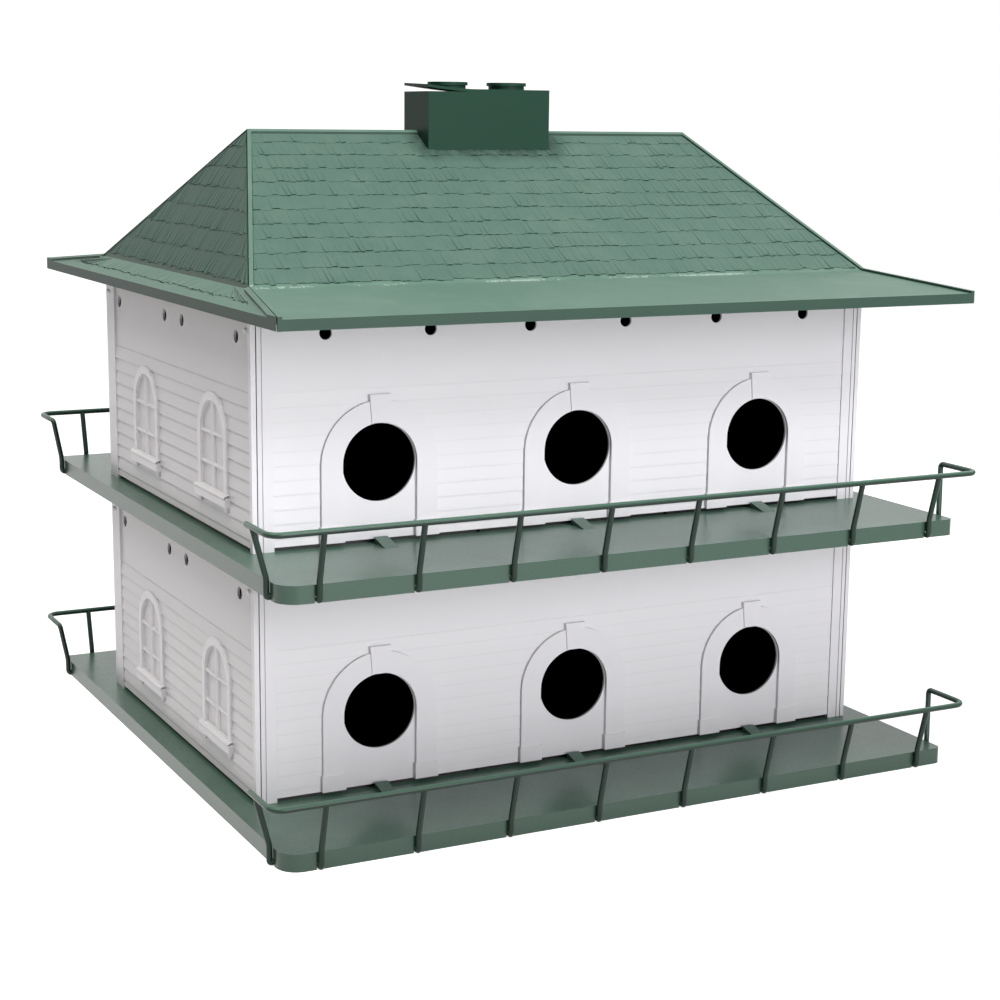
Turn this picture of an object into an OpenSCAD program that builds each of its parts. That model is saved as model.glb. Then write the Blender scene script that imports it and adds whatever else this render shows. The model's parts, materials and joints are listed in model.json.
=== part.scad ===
// Two-storey martin house: twelve nest rooms in snap-together moulded panels.
// Millimetres, +Z up. The origin is on the floor under the middle of the house,
// X runs along the long front and the front faces -Y.

/* [House body] */
// Length of the house over its end walls
house_l = 489; // [460:1:520]
// Depth of the house over its front and back walls
house_d = 330; // [300:1:360]
// Height of the wall panels of one storey
wall_h = 172.5; // [166:0.5:190]
// Thickness of the wall panels
wall_t = 2; // [1.8:0.1:4]
// Gap at the joint between an end wall and a long wall
corner_gap = 0.8; // [0.4:0.1:1.5]
// Width of the raised boards at the ends of a long wall
corner_board_w = 11; // [8:0.5:14]
// Width of the wide edge board of an end wall
edge_board_wide = 20; // [14:1:22]
// Width of the narrow edge board of an end wall
edge_board_narrow = 5; // [4:0.5:10]
// Height that the boards stand proud
board_h = 1.4; // [0.8:0.1:2]
// Height of the drain gap under a wall, between its end boards
foot_gap = 2.6; // [1:0.2:4]
// Width of the bead at the outer end of a long wall
bead_w = 2.8; // [2:0.2:4]

/* [Nest doors] */
// Distance between neighbouring entrance holes
door_pitch = 154; // [145:1:160]
// Diameter of an entrance hole
hole_d = 54; // [46:1:56]
// Height of an entrance hole's centre above the foot of its wall
hole_z = 55.5; // [50:0.5:62]
// Width between the jambs of a door
door_w = 55; // [50:1:58]
// Width of the raised band round a door
band_w = 15.5; // [10:0.5:18]
// Height that the band stands proud of the wall
band_h = 2.6; // [2:0.1:4]
// Height of the plinth block at the foot of each jamb
plinth_h = 14; // [8:1:20]
// Height that plinths and keystone stand proud of the band
block_h = 1; // [0.6:0.1:2]
// Width of the keystone at its top
key_w = 16; // [12:0.5:20]

/* [Vents] */
// Diameter of a vent hole
vent_d = 9; // [6:0.5:11]
// Height of the long walls' vent holes above the foot of the wall
vent_z = 145; // [135:1:150]
// Height of the end walls' vent holes above the foot of the wall
end_vent_z = 142; // [132:1:150]
// Distance of an inner end-wall vent from the middle of the wall
vent_inner = 20; // [14:1:26]
// Distance of an outer end-wall vent from the middle of the wall
vent_outer = 135; // [125:1:140]

/* [End windows] */
// Width over the frame of an end window
window_w = 60; // [50:1:62]
// Distance of the windows from the middle of their rooms
window_shift = 11; // [0:1:14]
// Height of the spring of a window's arch above the foot of the wall
window_spring_z = 69; // [60:1:76]
// Width of the raised window frame
frame_w = 6; // [4:0.5:8]
// Height that the window frame stands proud
frame_h = 2.4; // [1:0.2:3]
// Width of the window sill
sill_w = 65; // [64:1:72]
// Height of the sill's underside above the foot of the wall
sill_z = 23; // [16:1:28]
// Thickness of the sill
sill_t = 6.5; // [4:0.5:8]
// Height that the sill stands proud
sill_h = 4.5; // [3:0.5:6]

/* [Decks] */
// Distance that a deck reaches beyond the end walls
deck_side = 19; // [14:1:30]
// Distance that a deck reaches beyond the long walls
deck_front = 99.5; // [80:0.5:120]
// Radius of the front left and back right deck corners
deck_r = 15; // [8:1:22]
// Radius of the front right and back left deck corners
sharp_r = 5; // [4:0.5:7]
// Thickness of the deck plate
deck_t = 3; // [2.5:0.5:4]
// Height of the deck rim
rim_h = 12; // [11:0.5:18]
// Thickness of the deck rim
rim_t = 3; // [2:0.5:4]
// Thickness of the stiffening ribs under a deck
stiffener_t = 2; // [1.5:0.5:3]
// Depth of the stiffening ribs under a deck
stiffener_h = 4; // [2:0.5:5]

/* [Guard rails] */
// Diameter of the guard rail rod
rod_d = 4; // [3:0.5:5]
// Height of the rail above its deck
rail_h = 35.5; // [28:0.5:45]
// Distance that the rail leans out beyond the deck edge
rail_lean = 11; // [6:0.5:16]
// Radius of the rail's corner bends
rail_r = 9; // [6:1:16]
// Length of the rail's return along the ends of the deck
rail_return = 42; // [34:1:50]
// Number of posts along a rail
post_count = 8; // [5:1:10]
// Distance between neighbouring posts
post_pitch = 68.2; // [50:0.2:69]
// Distance of the end post behind the deck's long edge
end_post_y = 20; // [17:1:24]
// Clearance round the posts in their seats
rod_clear = 0.3; // [0.1:0.1:0.5]

/* [Roof] */
// Half of the ridge length
ridge_half = 186; // [150:1:205]
// Rise from the break of the roof to its ridge
roof_rise = 99.4; // [80:0.2:120]
// Distance of the roof break beyond the wall faces
break_out = 2; // [1:0.5:4]
// Distance that the eave reaches beyond the end walls
eave_side = 22; // [18:0.5:32]
// Distance that the eave reaches beyond the long walls
eave_front = 105.5; // [90:0.5:120]
// Drop of the skirt from the break to the eave
skirt_drop = 9.5; // [6:0.5:16]
// Upright thickness of the roof shells
roof_t = 3.2; // [2.5:0.1:4]
// Height of the eave rim
eave_h = 7.2; // [5:0.2:12]
// Thickness of the eave rim
eave_t = 2.6; // [2:0.2:4]
// Width of the raised rib beside each roof seam
rib_w = 3; // [2:0.2:6]
// Height of the ribs beside the seams
rib_h = 1.8; // [1:0.2:3]
// Gap of the seams between the roof shells
seam_gap = 0.4; // [0.2:0.1:0.8]

/* [Chimney] */
// Length of the chimney along the ridge
chimney_l = 102; // [80:1:120]
// Depth of the chimney across the ridge
chimney_d = 44; // [30:1:60]
// Height of the chimney above the ridge
chimney_h = 30.6; // [20:0.2:45]
// Thickness of the chimney walls
chimney_t = 2.5; // [2:0.5:4]
// Thickness of the chimney cap
cap_t = 2; // [1.5:0.5:4]
// Diameter of a chimney pot over its flange
pot_d = 30.5; // [24:0.5:40]
// Height of a chimney pot
pot_h = 5.3; // [4.5:0.1:12]
// Distance between the chimney pots
pot_pitch = 50; // [44:1:58]

/* [Inside] */
// Thickness of the dividers between the rooms
divider_t = 2; // [1.5:0.5:3]
// Thickness of the ceiling over the upper rooms
ceiling_t = 2.5; // [2:0.5:4]
// Clearance between the inner pieces and their neighbours
inner_clear = 0.3; // [0.2:0.1:0.6]

/* [Pole plate] */
// Side of the square pole plate under the lower deck
plate_w = 110; // [100:1:130]
// Thickness of the pole plate
plate_t = 4; // [3:0.5:5]
// Spacing of the pole plate's bolt holes
bolt_pitch = 82; // [70:1:90]
// Diameter of the bolt holes
bolt_d = 6.6; // [5:0.1:9]

/* [Hidden] */
$fn = 48;
body_green = "#5f8b76";
dark_green = "#3f5f50";
panel_white = "#ececee";
// half sizes of the house, the decks and the eave
half_l = house_l / 2;
half_d = house_d / 2;
deck_x = half_l + deck_side;
deck_y = half_d + deck_front;
eave_x = half_l + eave_side;
eave_y = half_d + eave_front;
break_x = half_l + break_out;
break_y = half_d + break_out;
// heights of the floors, the wall tops and the roof
lower_z = rim_h;
upper_z = lower_z + wall_h + deck_t;
seat_z = upper_z + wall_h;
break_z = seat_z + roof_t;
ridge_z = break_z + roof_rise;
eave_z = break_z - skirt_drop;
chimney_top = ridge_z + rib_h + chimney_h;
// radii of the door and window arches
door_r = door_w / 2;
arch_r = door_r + band_w;
window_r = window_w / 2;
cut = 1; // how far a cutting body runs past a face
long_wall_l = house_l - 2 * (wall_t + corner_gap);
end_wall_l = house_d + 2 * board_h;
divider_l = house_l - 2 * (wall_t + inner_clear);
divider_d = house_d - 2 * (wall_t + inner_clear);
catch_w = 10; // the long wedge at the foot of a door
catch_l = 19;
catch_h = 4.5;
catch_gap = 0.3;
groove_w = 0.8; // the groove beside a long wall's bead
groove_d = 1;
key_over = 4; // how far the keystone rises above the arch
key_taper = 1.5; // how much narrower each side of the keystone is at its foot
plinth_out = 1; // how far a plinth is wider than its jamb on each side
ear_w = 6; // the ears under a window sill
ear_h = 4.3;
plate_r = 8; // corners of the pole plate
rod_seat = rod_d / 2 + rod_clear; // from a deck edge to the middle of a post
post_z = 2; // where a post starts to lean, above its deck
rail_y = deck_y + rail_lean;
rail_x = deck_x + rail_lean;
flange_h = 2.4; // the flange round the top of a pot
flange_out = 1.5;
pot_wall = 2.6;

// ---- shared shapes ----

// an outline drawn in X and Z, raised by h towards -Y from the plane y = 0
module raise_front(h) {
  rotate([90, 0, 0]) linear_extrude(h) children();
}

// outline of an arched opening: a half circle over a rectangle from z0 up to the spring
module arch_shape(r, spring, z0) {
  translate([0, spring]) circle(r);
  translate([-r, z0]) square([2 * r, spring - z0]);
}

// a straight rod between two points that share the same x
module rod(p, q) {
  v = q - p;
  translate(p) rotate([-atan2(v[1], v[2]), 0, 0]) cylinder(d = rod_d, h = norm(v));
}

// ---- decks ----

// outline of a deck, drawn in by inset: two of its corners are rounder than the other two
module deck_outline(inset) {
  x = deck_x - inset;
  y = deck_y - inset;
  large = deck_r - inset;
  small = sharp_r - inset;
  square([2 * x, 2 * (y - large)], center = true);
  square([2 * (x - large), 2 * y], center = true);
  for (turn = [0, 180]) rotate(turn) {
    translate([large - x, large - y]) circle(large);
    translate([x - small, small - y]) circle(small);
    translate([x - large, -y]) square([large - small, large]);
    translate([x - large, small - y]) square([large, large - small]);
  }
}

// places of the posts along a rail
function post_x() = [for (i = [0:post_count - 1]) (i - (post_count - 1) / 2) * post_pitch];

// cuts in the foot of the rim where the rail posts hook under it
module post_notches() {
  notch_w = rod_d + 2 * rod_clear;
  for (s = [-1, 1]) {
    for (x = post_x())
      translate([x - notch_w / 2, s * deck_y - rim_t - cut, -cut])
        cube([notch_w, 2 * (rim_t + cut), notch_w + cut]);
    for (e = [-1, 1])
      translate([e * deck_x - rim_t - cut, s * (deck_y - end_post_y) - notch_w / 2, -cut])
        cube([2 * (rim_t + cut), notch_w, notch_w + cut]);
  }
}

// wedge that a long wall snaps behind, at the foot of each door
module wall_catch() {
  translate([-catch_w / 2, 0, 0]) rotate([90, 0, 90]) linear_extrude(catch_w)
    polygon([[0, 0], [-catch_l, 0], [0, catch_h]]);
}

// ribs under the overhang of the long sides, one behind each post
module overhang_ribs() {
  inner_y = half_d + board_h + inner_clear;
  for (s = [0, 1], x = post_x()) mirror([0, s, 0])
    translate([x - stiffener_t / 2, inner_y, rim_h - deck_t - stiffener_h])
      cube([stiffener_t, deck_y - rim_t / 2 - inner_y, stiffener_h + deck_t / 2]);
}

// ribs under the walls and the cross dividers of the lower storey
module floor_ribs() {
  base = rim_h - deck_t - stiffener_h;
  for (s = [-1, 1]) {
    translate([-half_l, s * half_d - stiffener_t / 2, base])
      cube([house_l, stiffener_t, stiffener_h + deck_t / 2]);
    for (x = [half_l, door_pitch / 2])
      translate([s * x - stiffener_t / 2, -half_d, base])
        cube([stiffener_t, house_d, stiffener_h + deck_t / 2]);
  }
}

module deck(top) {
  color(body_green) translate([0, 0, top - rim_h]) difference() {
    union() {
      translate([0, 0, rim_h - deck_t]) linear_extrude(deck_t) deck_outline(0);
      linear_extrude(rim_h) difference() {
        deck_outline(0);
        deck_outline(rim_t);
      }
      for (i = [-1:1], s = [0, 1])
        mirror([0, s, 0])
          translate([i * door_pitch, -half_d - band_h - catch_gap, rim_h]) wall_catch();
      overhang_ribs();
      if (top == lower_z) floor_ribs();
    }
    post_notches();
    if (top == lower_z) bolt_holes(-cut, rim_h + 2 * cut);
  }
}

module bolt_holes(z, h) {
  for (sx = [-1, 1], sy = [-1, 1])
    translate([sx * bolt_pitch / 2, sy * bolt_pitch / 2, z]) cylinder(d = bolt_d, h = h);
}

module pole_plate() {
  color("silver") difference() {
    translate([0, 0, rim_h - deck_t - plate_t]) linear_extrude(plate_t) {
      square([plate_w, plate_w - 2 * plate_r], center = true);
      square([plate_w - 2 * plate_r, plate_w], center = true);
      for (sx = [-1, 1], sy = [-1, 1])
        translate([sx, sy] * (plate_w / 2 - plate_r)) circle(plate_r);
    }
    bolt_holes(0, rim_h);
  }
}

// ---- walls ----

// raised surround of one door: band, plinths and keystone, around x = 0
module door_surround() {
  raise_front(band_h) difference() {
    arch_shape(arch_r, hole_z, 0);
    translate([0, -cut]) arch_shape(door_r, hole_z + cut, 0);
  }
  raise_front(band_h + block_h) for (s = [0, 1]) mirror([s, 0])
    translate([door_r - plinth_out, 0]) square([band_w + 2 * plinth_out, plinth_h]);
  raise_front(band_h + block_h) translate([0, hole_z]) polygon([
    [-key_w / 2 + key_taper, door_r], [key_w / 2 - key_taper, door_r],
    [key_w / 2, arch_r + key_over], [-key_w / 2, arch_r + key_over]
  ]);
}

// cut under a wall between its edge boards, from x0 to x1
module foot_cut(x0, x1) {
  front = band_h + block_h + cut;
  translate([x0, -front, -cut]) cube([x1 - x0, front + wall_t + cut, foot_gap + cut]);
}

// groove that sets off the bead at the outer end of a long wall
module bead_groove() {
  translate([long_wall_l / 2 - bead_w - groove_w, -board_h - cut, -cut])
    cube([groove_w, groove_d + cut, wall_h + 2 * cut]);
}

// a long wall, seen from the front: three doors and two vents to a room
module long_wall() {
  board_x = long_wall_l / 2 - corner_board_w;
  color(panel_white) difference() {
    union() {
      translate([-long_wall_l / 2, 0, 0]) cube([long_wall_l, wall_t, wall_h]);
      for (i = [-1:1]) translate([i * door_pitch, 0, 0]) door_surround();
      for (s = [0, 1]) mirror([s, 0, 0])
        translate([board_x, -board_h, 0]) cube([corner_board_w, board_h + wall_t / 2, wall_h]);
    }
    foot_cut(-board_x, board_x);
    for (s = [0, 1]) mirror([s, 0, 0]) bead_groove();
    for (i = [-1:1]) translate([i * door_pitch, wall_t + cut, hole_z])
      rotate([90, 0, 0]) cylinder(d = hole_d, h = wall_t + band_h + 2 * cut);
    for (i = [-2.5:2.5]) translate([i * door_pitch / 2, wall_t + cut, vent_z])
      rotate([90, 0, 0]) cylinder(d = vent_d, h = wall_t + 2 * cut);
  }
}

// raised frame, sill and ears of one end window, around x = 0
module window_frame() {
  raise_front(frame_h) difference() {
    arch_shape(window_r, window_spring_z, sill_z + sill_t / 2);
    arch_shape(window_r - frame_w, window_spring_z, sill_z + sill_t / 2 - cut);
  }
  raise_front(sill_h) translate([-sill_w / 2, sill_z]) square([sill_w, sill_t]);
  raise_front(frame_h) for (s = [0, 1]) mirror([s, 0])
    translate([window_r - ear_w, sill_z - ear_h]) square([ear_w, ear_h + sill_t / 2]);
}

// an end wall, seen from outside, with its wide edge board on the left
module end_wall() {
  color(panel_white) difference() {
    union() {
      translate([-end_wall_l / 2, 0, 0]) cube([end_wall_l, wall_t, wall_h]);
      for (s = [-1, 1])
        translate([s * door_pitch / 2 + window_shift, 0, 0]) window_frame();
      translate([-end_wall_l / 2, -board_h, 0])
        cube([edge_board_wide, board_h + wall_t / 2, wall_h]);
      translate([end_wall_l / 2 - edge_board_narrow, -board_h, 0])
        cube([edge_board_narrow, board_h + wall_t / 2, wall_h]);
    }
    foot_cut(-end_wall_l / 2 + edge_board_wide, end_wall_l / 2 - edge_board_narrow);
    for (x = [-vent_outer, -vent_inner, vent_inner, vent_outer])
      translate([x, wall_t + cut, end_vent_z])
        rotate([90, 0, 0]) cylinder(d = vent_d, h = wall_t + 2 * cut);
  }
}

module front_wall(z) { translate([0, -half_d, z]) long_wall(); }
module back_wall(z) { rotate([0, 0, 180]) translate([0, -half_d, z]) long_wall(); }
module left_wall(z) { rotate([0, 0, -90]) translate([0, -half_l, z]) end_wall(); }
module right_wall(z) { rotate([0, 0, 90]) translate([0, -half_l, z]) end_wall(); }

// ---- inside ----

// divider between the front and back rooms, slotted from above for the cross dividers
module long_divider(z, h) {
  slot_w = divider_t + 2 * inner_clear;
  color(dark_green) difference() {
    translate([-divider_l / 2, -divider_t / 2, z]) cube([divider_l, divider_t, h]);
    for (s = [-1, 1])
      translate([s * door_pitch / 2 - slot_w / 2, -divider_t / 2 - cut, z + h / 2 - inner_clear])
        cube([slot_w, divider_t + 2 * cut, h / 2 + inner_clear + cut]);
  }
}

// divider between neighbouring rooms, slotted from below
module cross_divider(z, h, side) {
  slot_w = divider_t + 2 * inner_clear;
  color(dark_green) translate([side * door_pitch / 2, 0, z]) difference() {
    translate([-divider_t / 2, -divider_d / 2, 0]) cube([divider_t, divider_d, h]);
    translate([-divider_t / 2 - cut, -slot_w / 2, -cut])
      cube([divider_t + 2 * cut, slot_w, h / 2 + cut]);
  }
}

module ceiling() {
  color(dark_green) translate([-divider_l / 2, -divider_d / 2, seat_z - ceiling_t])
    cube([divider_l, divider_d, ceiling_t]);
}

// ---- roof ----

// outline of a roof shell across the eave: slope, skirt and rim, from the ridge outwards,
// for a break at b and an eave at e, with its top raised by up
function shell_outline(r, b, e, up) = [
  [r, ridge_z + up], [b, break_z + up], [e, eave_z + up], [e, eave_z - eave_h],
  [e - eave_t, eave_z - eave_h], [e - eave_t, eave_z - roof_t],
  [b, break_z - roof_t], [r, ridge_z - roof_t]
];

// half width of the front shell at the ridge, the break and the eave, moved by d along X
function hip_x(d) = [ridge_half + d, break_x + d, eave_x + d];

// plan of the front shell between two hips that are moved by d
module front_plan(d) {
  h = hip_x(d);
  polygon([
    [-h[0], -seam_gap / 2], [h[0], -seam_gap / 2], [h[1], -break_y], [h[2], -eave_y - cut],
    [-h[2], -eave_y - cut], [-h[1], -break_y]
  ]);
}

// plan of the right end shell, outside the hips moved by d
module end_plan(d) {
  h = hip_x(d);
  polygon([
    [h[0], 0], [h[1], break_y], [h[2], eave_y], [2 * eave_x, eave_y],
    [2 * eave_x, -eave_y], [h[2], -eave_y], [h[1], -break_y]
  ]);
}

module front_profile(up) {
  rotate([90, 0, -90]) translate([0, 0, -eave_x]) linear_extrude(2 * eave_x)
    polygon(shell_outline(0, break_y, eave_y, up));
}

module end_profile(up) {
  translate([0, eave_y, 0]) rotate([90, 0, 0]) linear_extrude(2 * eave_y)
    polygon(shell_outline(ridge_half, break_x, eave_x, up));
}

module roof_front() {
  color(body_green) union() {
    intersection() {
      front_profile(0);
      linear_extrude(ridge_z + rib_h + cut) front_plan(-seam_gap / 2);
    }
    intersection() {
      front_profile(rib_h);
      linear_extrude(ridge_z + rib_h + cut) union() {
        difference() {
          front_plan(-seam_gap / 2);
          front_plan(-seam_gap / 2 - rib_w);
        }
        translate([-ridge_half, -rib_w]) square([2 * ridge_half - seam_gap, rib_w - seam_gap / 2]);
      }
    }
  }
}

module roof_right() {
  color(body_green) union() {
    intersection() {
      end_profile(0);
      linear_extrude(ridge_z + rib_h + cut) end_plan(seam_gap / 2);
    }
    intersection() {
      end_profile(rib_h);
      linear_extrude(ridge_z + rib_h + cut) difference() {
        end_plan(seam_gap / 2);
        end_plan(seam_gap / 2 + rib_w);
        translate([0, -break_y]) square([2 * break_x, 2 * break_y]);
      }
    }
  }
}

module roof_back() { rotate([0, 0, 180]) roof_front(); }
module roof_left() { rotate([0, 0, 180]) roof_right(); }

// ---- chimney ----

// space that the roof takes up under the chimney, grown by its clearance
module saddle() {
  slope = roof_rise / break_y;
  rib_edge = ridge_z - rib_w * slope + rib_h + inner_clear;
  rotate([90, 0, 90]) translate([0, 0, -chimney_l]) linear_extrude(2 * chimney_l) union() {
    polygon([
      [-break_y, 0], [-break_y, break_z + inner_clear], [0, ridge_z + inner_clear],
      [break_y, break_z + inner_clear], [break_y, 0]
    ]);
    polygon([
      [-rib_w - inner_clear, 0], [-rib_w - inner_clear, rib_edge], [0, rib_edge + rib_w * slope],
      [rib_w + inner_clear, rib_edge], [rib_w + inner_clear, 0]
    ]);
  }
}

module chimney() {
  color(dark_green) difference() {
    translate([-chimney_l / 2, -chimney_d / 2, break_z])
      cube([chimney_l, chimney_d, chimney_top - cap_t - break_z]);
    translate([-chimney_l / 2 + chimney_t, -chimney_d / 2 + chimney_t, 0])
      cube([chimney_l - 2 * chimney_t, chimney_d - 2 * chimney_t, chimney_top + cut]);
    saddle();
  }
}

module chimney_cap() {
  color(dark_green) translate([-chimney_l / 2, -chimney_d / 2, chimney_top - cap_t])
    cube([chimney_l, chimney_d, cap_t]);
}

module chimney_pots() {
  pot_r = pot_d / 2;
  color(dark_green) for (s = [-1, 1])
    translate([s * pot_pitch / 2, 0, chimney_top]) rotate_extrude() polygon([
      [0, 0], [pot_r - flange_out, 0], [pot_r - flange_out, pot_h - flange_h],
      [pot_r, pot_h - flange_h], [pot_r, pot_h], [pot_r - pot_wall, pot_h],
      [pot_r - pot_wall, pot_wall], [0, pot_wall]
    ]);
}

// ---- guard rails ----

// a post whose deck edge is at y = 0: its hook under the rim, its upright and its lean to the rail
module post() {
  bend = [0, -rod_seat, post_z];
  rod([0, rim_t, -rim_h + rod_d / 2], [0, -rod_seat, -rim_h + rod_d / 2]);
  rod([0, -rod_seat, -rim_h], bend);
  rod(bend - [0, 0, rod_d / 4], [0, -rail_lean, rail_h]);
}

// the end post that slopes along its deck edge as well, up to the end of the rail's return
module bent_post() {
  bend = [0, -rod_seat, post_z];
  reach = rail_return - rail_lean - end_post_y - rod_d / 2;
  out = rail_lean - rod_seat;
  rise = rail_h - post_z + rod_d / 4;
  rod([0, rim_t, -rim_h + rod_d / 2], [0, -rod_seat, -rim_h + rod_d / 2]);
  rod([0, -rod_seat, -rim_h], bend);
  translate(bend - [0, 0, rod_d / 4])
    rotate([atan2(out, rise), 0, 0]) rotate([0, atan2(reach, norm([out, rise])), 0])
      cylinder(d = rod_d, h = norm([reach, out, rise]));
}

// quarter bend of the rail from the front run into the right-hand return
module rail_bend() {
  translate([rail_x - rail_r, -rail_y + rail_r, 0]) rotate([0, 0, -90])
    rotate_extrude(angle = 90) translate([rail_r, 0]) circle(d = rod_d);
}

// front rail of a deck whose top is at z: its left return runs past a leaning end post,
// and its right return turns down into the end post itself
module front_rail(z) {
  run = rail_x - rail_r;
  color(dark_green) translate([0, 0, z]) union() {
    for (x = post_x()) translate([x, -deck_y, 0]) post();
    translate([-run, -rail_y, rail_h]) rotate([0, 90, 0]) cylinder(d = rod_d, h = 2 * run);
    for (s = [0, 1]) mirror([s, 0, 0]) {
      translate([0, 0, rail_h]) rail_bend();
      rod([rail_x, -rail_y + rail_r, rail_h], [rail_x, -rail_y + rail_return, rail_h]);
    }
    mirror([1, 0, 0]) translate([deck_x, -deck_y + end_post_y, 0]) rotate([0, 0, 90]) post();
    translate([deck_x, -deck_y + end_post_y, 0]) rotate([0, 0, 90]) bent_post();
  }
}

module back_rail(z) { rotate([0, 0, 180]) front_rail(z); }

deck(lower_z);  // lower_deck
deck(upper_z);  // upper_deck
pole_plate();
front_wall(lower_z);  // lower_front_wall
back_wall(lower_z);  // lower_back_wall
left_wall(lower_z);  // lower_left_wall
right_wall(lower_z);  // lower_right_wall
front_wall(upper_z);  // upper_front_wall
back_wall(upper_z);  // upper_back_wall
left_wall(upper_z);  // upper_left_wall
right_wall(upper_z);  // upper_right_wall
long_divider(lower_z, wall_h);  // lower_long_divider
cross_divider(lower_z, wall_h, -1);  // lower_left_divider
cross_divider(lower_z, wall_h, 1);  // lower_right_divider
long_divider(upper_z, wall_h - ceiling_t);  // upper_long_divider
cross_divider(upper_z, wall_h - ceiling_t, -1);  // upper_left_divider
cross_divider(upper_z, wall_h - ceiling_t, 1);  // upper_right_divider
ceiling();
roof_front();
roof_back();
roof_left();
roof_right();
chimney();
chimney_cap();
chimney_pots();
front_rail(lower_z);  // lower_front_rail
back_rail(lower_z);  // lower_back_rail
front_rail(upper_z);  // upper_front_rail
back_rail(upper_z);  // upper_back_rail
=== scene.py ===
import json
import math
import bpy
import numpy as np
from mathutils import Matrix, Vector


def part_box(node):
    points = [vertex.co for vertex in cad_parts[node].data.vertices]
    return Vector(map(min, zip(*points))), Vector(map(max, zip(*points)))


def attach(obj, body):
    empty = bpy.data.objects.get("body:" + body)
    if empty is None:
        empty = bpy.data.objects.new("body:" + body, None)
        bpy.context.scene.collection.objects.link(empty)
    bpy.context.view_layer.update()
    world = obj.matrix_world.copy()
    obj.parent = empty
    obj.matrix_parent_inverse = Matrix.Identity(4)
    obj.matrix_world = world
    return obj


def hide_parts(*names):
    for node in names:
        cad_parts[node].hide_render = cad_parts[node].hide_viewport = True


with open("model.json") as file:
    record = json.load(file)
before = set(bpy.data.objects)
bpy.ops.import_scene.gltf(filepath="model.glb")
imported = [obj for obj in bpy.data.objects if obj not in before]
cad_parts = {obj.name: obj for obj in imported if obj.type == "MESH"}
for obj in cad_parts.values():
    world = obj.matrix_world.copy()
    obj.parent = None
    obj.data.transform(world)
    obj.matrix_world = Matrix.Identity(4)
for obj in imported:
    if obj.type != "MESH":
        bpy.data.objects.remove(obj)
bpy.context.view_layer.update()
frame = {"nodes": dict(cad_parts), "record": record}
nodes = frame["nodes"]
seeded = np.random.default_rng(12)

# sizes of the CAD model that several pieces share, in metres
house = {
    "halfLength": 0.2445,
    "halfDepth": 0.165,
    "floors": {"lower": 0.012, "upper": 0.1875},
    "deckHalf": (0.2635, 0.2645),
    "breakHalf": (0.2465, 0.167),
    "eaveHalf": (0.2665, 0.2705),
    "ridgeHalf": 0.186,
    "ridgeZ": 0.4626,
    "breakZ": 0.3632,
    "eaveZ": 0.3537,
    "wallThick": 0.002,
    "boardProud": 0.0014,  # how far the corner boards stand out from a wall
}

# arched outlines on the walls, in metres from the foot of their storey
doors = {"centres": (-0.154, 0.0, 0.154), "radius": 0.043, "spring": 0.0555, "plinthTop": 0.014,
         "plinthOut": 0.001}
windows = {"centres": (-0.066, 0.088), "radius": 0.030, "spring": 0.069, "sillFoot": 0.023, "sillTop": 0.0295,
           "sillHalf": 0.0325}

boards = {
    "firstLine": 0.0082,  # height of the lowest lap line above a storey's floor
    "pitch": 0.00988,
    "lines": 11,
    "foot": 0.0027,  # above the shadow gap
    "lap": {True: 0.0007, False: 0.0012},  # how far a lower edge stands out on a long and on an end wall
    "thin": 0.00015,  # and an upper edge
    "gap": 0.0002,  # from a board's end to what it meets
    "sunk": 0.0001,  # how far a piece reaches into the face that it lies on
    "run": {True: (-0.2307, 0.2307), False: (-0.1464, 0.1614)},  # between the corner boards
}


# quads of a grid of rows x cols points numbered row by row, facing (row direction) x (column direction)
# when flip is off and the other way round when it is on
def gridQuads(rows, cols, wrapCols=False, flip=False):
    i, j = np.meshgrid(np.arange(rows - 1), np.arange(cols if wrapCols else cols - 1), indexing="ij")
    k = (j + 1) % cols
    quads = np.stack([i * cols + j, (i + 1) * cols + j, (i + 1) * cols + k, i * cols + k], -1).reshape(-1, 4)
    return quads[:, ::-1] if flip else quads


# one object out of several (points, faces) pairs, in place and riding on the house
def addPiece(name, parts, material, smooth=False):
    points, faces, start = [], [], 0
    for partPoints, partFaces in parts:
        points.append(partPoints)
        faces.extend((np.asarray(partFaces) + start).tolist())
        start += len(partPoints)
    mesh = bpy.data.meshes.new(name)
    mesh.from_pydata(np.concatenate(points).tolist(), [], faces)
    mesh.polygons.foreach_set("use_smooth", np.full(len(mesh.polygons), smooth))
    mesh.materials.append(material)
    mesh.update()
    piece = bpy.data.objects.new(name, mesh)
    bpy.context.scene.collection.objects.link(piece)
    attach(piece, "root")
    return piece


# which way each outside wall faces, as a turn about Z from the front
sideTurn = {"front": 0, "right": 90, "back": 180, "left": 270}


# points of a wall face: along it to the right as seen from outside, up, and out from the middle of the house,
# turned about Z by the side's angle
def onSide(side, along, up, out):
    a = math.radians(sideTurn[side])
    along, up, out = np.broadcast_arrays(along, up, out)
    x = along * math.cos(a) + out * math.sin(a)
    y = along * math.sin(a) - out * math.cos(a)
    return np.stack([x, y, up], -1)


# a linear colour out of an 8-bit one: a straight foot, then a power of 2.4
def srgb(r, g, b):
    c = np.array([r, g, b]) / 255
    return (*np.where(c <= 0.04045, c / 12.92, ((c + 0.055) / 1.055) ** 2.4).tolist(), 1.0)


# an empty node group with its named inputs, each with a starting value, and its named outputs
def newGroup(name, inputs, outputs):
    group = bpy.data.node_groups.new(name, "ShaderNodeTree")
    for title, value in inputs.items():
        group.interface.new_socket(title, in_out="INPUT", socket_type="NodeSocketFloat").default_value = value
    for title in outputs:
        group.interface.new_socket(title, in_out="OUTPUT", socket_type="NodeSocketFloat")
    return group, group.nodes.new("NodeGroupInput").outputs, group.nodes.new("NodeGroupOutput").inputs


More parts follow.
